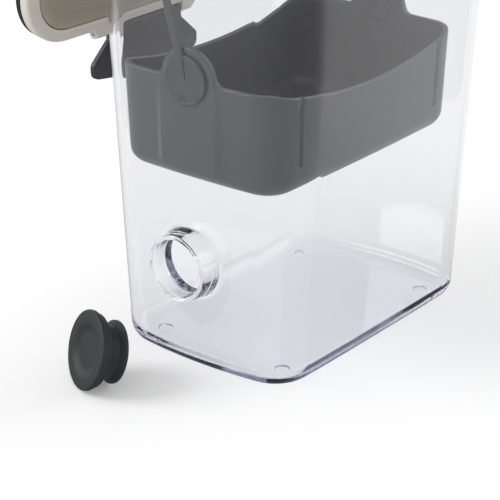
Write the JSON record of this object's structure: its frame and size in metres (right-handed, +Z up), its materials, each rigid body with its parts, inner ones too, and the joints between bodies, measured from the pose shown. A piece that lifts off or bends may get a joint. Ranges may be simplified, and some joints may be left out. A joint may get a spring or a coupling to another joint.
{
  "type": "herb keeper",
  "caption": "Tall clear tub with a drain spout and loose plug, a lifting basket on a strap handle, and a hinged lid with a front latch.",
  "frame": {"origin": "middle of the tub's flat underside, on the surface it stands on", "axes": "+X along the tub's length, the spout at -X; +Z up; +Y to the back, where the hinge is"},
  "size_m": [0.1672, 0.1351, 0.215],
  "materials": {
    "clear_tub": "clear, polished",
    "cream_plastic": "satin, warm grey-beige",
    "taupe_panel": "satin",
    "dark_silicone": "soft, matte",
    "dark_plastic": "satin",
    "basket_plastic": "satin",
    "handle_plastic": "satin",
    "pin_steel": "plain"
  },
  "bodies": {
    "base": {"tub": "clear_tub", "rim_collar": "cream_plastic", "hinge_pin_left": "pin_steel", "hinge_pin_right": "pin_steel"},
    "lid": {"lid_shell": "cream_plastic", "lid_inset_panel": "taupe_panel", "lid_seal": "dark_silicone", "latch_pin": "pin_steel"},
    "latch": {"front_latch": "dark_plastic"},
    "basket": {"herb_basket": "basket_plastic"},
    "handle": {"basket_handle": "handle_plastic", "handle_stud_right": "handle_plastic", "handle_stud_left": "handle_plastic"},
    "plug": {"drain_plug": "dark_silicone"}
  },
  "joints": [
    {"name": "lid_hinge", "type": "hinge", "parent": "base", "child": "lid", "pos_m": [0, 0.05652, 0.212], "axis": [1, 0, 0], "range_deg": [0, 260]},
    {"name": "latch_hinge", "type": "hinge", "parent": "lid", "child": "latch", "pos_m": [0, 0.07501, 0.10229], "axis": [1, 0, 0], "range_deg": [0, 100]},
    {"name": "basket_lift", "type": "slide", "parent": "base", "child": "basket", "axis": [-0.0106, 0.0362, 0.9993], "range_m": [-0.0663, 0]},
    {"name": "handle_swing", "type": "hinge", "parent": "basket", "child": "handle", "pos_m": [-0.0018, 0.0024, 0.108], "axis": [1, 0, 0], "range_deg": [-5.4, 42.6]},
    {"name": "plug_lift", "type": "slide", "parent": "base", "child": "plug", "axis": [0, 0, 1], "range_m": [0, 0.03]}
  ]
}
